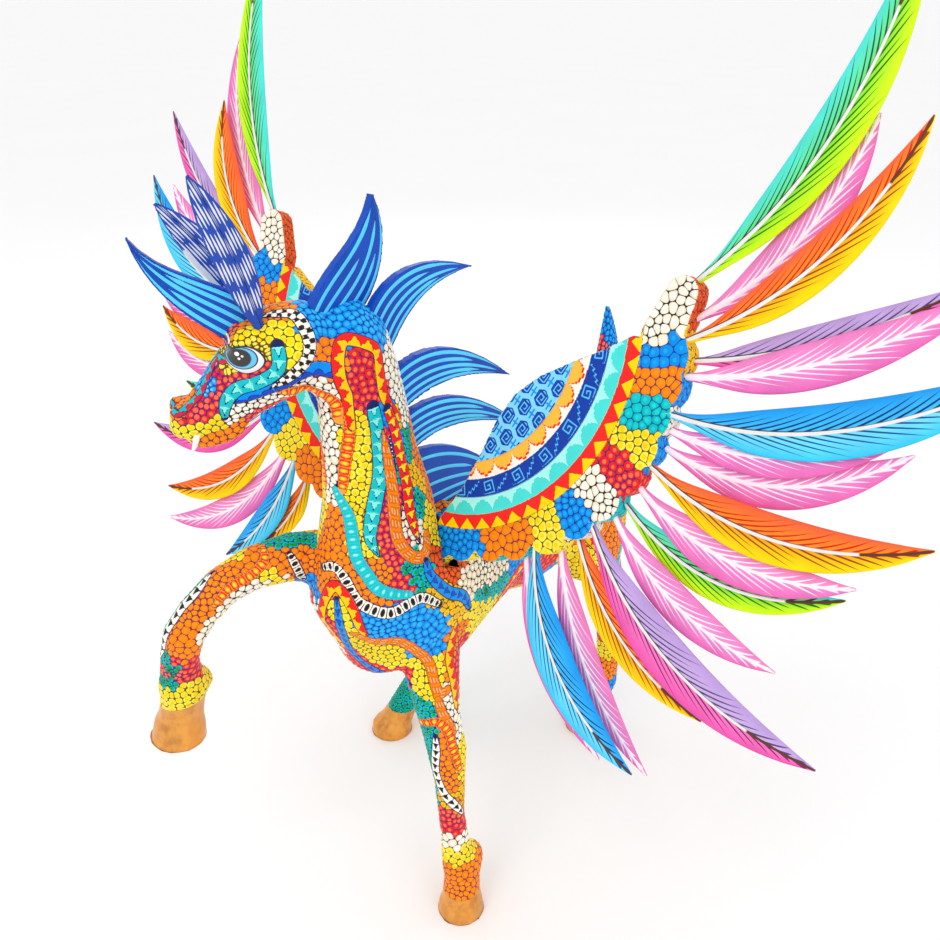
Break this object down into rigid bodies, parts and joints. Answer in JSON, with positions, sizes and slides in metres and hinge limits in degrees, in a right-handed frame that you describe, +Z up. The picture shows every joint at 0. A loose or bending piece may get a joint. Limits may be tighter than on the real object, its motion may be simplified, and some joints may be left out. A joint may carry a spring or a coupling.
{
  "type": "alebrije figure",
  "caption": "Carved wooden winged horse figure, painted all over in bright scale cells, with fanned feather wings, flame mane, ears and tail that plug into the body.",
  "frame": {"origin": "the middle of the figure's outer box, on the floor that it stands on", "axes": "+Z up, the horse faces -Y, its left side is towards +X"},
  "size_m": [0.6311, 0.4252, 0.6567],
  "materials": {
    "body_paint": "hand-painted scale cells in many bright colours on carved wood, satin acrylic",
    "mane_paint": "hand-painted royal blue with pale blue grooves, satin acrylic",
    "ear_paint": "hand-painted dark blue with white hatching, satin acrylic",
    "tail_paint": "hand-painted blue and red scales, satin acrylic",
    "wing_paint": "hand-painted bands and scale lobes, satin acrylic",
    "feather_pink": "hand-painted pink with white barbs, satin acrylic",
    "feather_green": "hand-painted green and turquoise halves, satin acrylic",
    "feather_orange": "hand-painted orange and yellow halves, satin acrylic",
    "feather_lilac": "hand-painted lilac and magenta halves, satin acrylic",
    "feather_blue": "hand-painted blue halves, satin acrylic"
  },
  "bodies": {
    "root": {"trunk": "body_paint", "leg_fore_left": "body_paint", "leg_fore_right": "body_paint", "leg_hind_left": "body_paint", "leg_hind_right": "body_paint", "mane_lock_1": "mane_paint", "mane_lock_2": "mane_paint", "mane_lock_3": "mane_paint", "mane_lock_4": "mane_paint", "mane_lock_5": "mane_paint", "mane_lock_6": "mane_paint"},
    "ear_left": {"ear_left": "ear_paint"},
    "ear_right": {"ear_right": "ear_paint"},
    "tail": {"tail": "tail_paint"},
    "wing_left": {"wing_plate_left": "wing_paint", "feather_left_1": "feather_green", "feather_left_2": "feather_pink", "feather_left_3": "feather_orange", "feather_left_4": "feather_lilac", "feather_left_5": "feather_pink", "feather_left_6": "feather_blue", "feather_left_7": "feather_pink", "feather_left_8": "feather_pink", "feather_left_9": "feather_orange", "feather_left_10": "feather_pink", "feather_left_11": "feather_green", "feather_left_12": "feather_pink", "feather_left_13": "feather_lilac", "feather_left_14": "feather_orange", "feather_left_15": "feather_pink", "feather_left_16": "feather_blue", "feather_left_17": "feather_pink"},
    "wing_right": {"wing_plate_right": "wing_paint", "feather_right_1": "feather_green", "feather_right_2": "feather_pink", "feather_right_3": "feather_orange", "feather_right_4": "feather_lilac", "feather_right_5": "feather_pink", "feather_right_6": "feather_blue", "feather_right_7": "feather_pink", "feather_right_8": "feather_pink", "feather_right_9": "feather_orange", "feather_right_10": "feather_pink", "feather_right_11": "feather_green", "feather_right_12": "feather_pink", "feather_right_13": "feather_lilac", "feather_right_14": "feather_orange", "feather_right_15": "feather_pink", "feather_right_16": "feather_blue", "feather_right_17": "feather_orange"}
  },
  "joints": [
    {"name": "wing_left_lift", "type": "slide", "parent": "root", "child": "wing_left", "axis": [0.5958, 0.2291, 0.7698], "range_m": [0, 0.034]},
    {"name": "wing_right_lift", "type": "slide", "parent": "root", "child": "wing_right", "axis": [-0.6087, 0.1923, 0.7697], "range_m": [0, 0.034]},
    {"name": "ear_left_lift", "type": "slide", "parent": "root", "child": "ear_left", "axis": [-0.0174, -0.239, 0.9709], "range_m": [0, 0.014]},
    {"name": "ear_right_lift", "type": "slide", "parent": "root", "child": "ear_right", "axis": [-0.397, -0.317, 0.8613], "range_m": [0, 0.014]},
    {"name": "tail_lift", "type": "slide", "parent": "root", "child": "tail", "axis": [0, 0.2419, 0.9703], "range_m": [0, 0.018]}
  ]
}
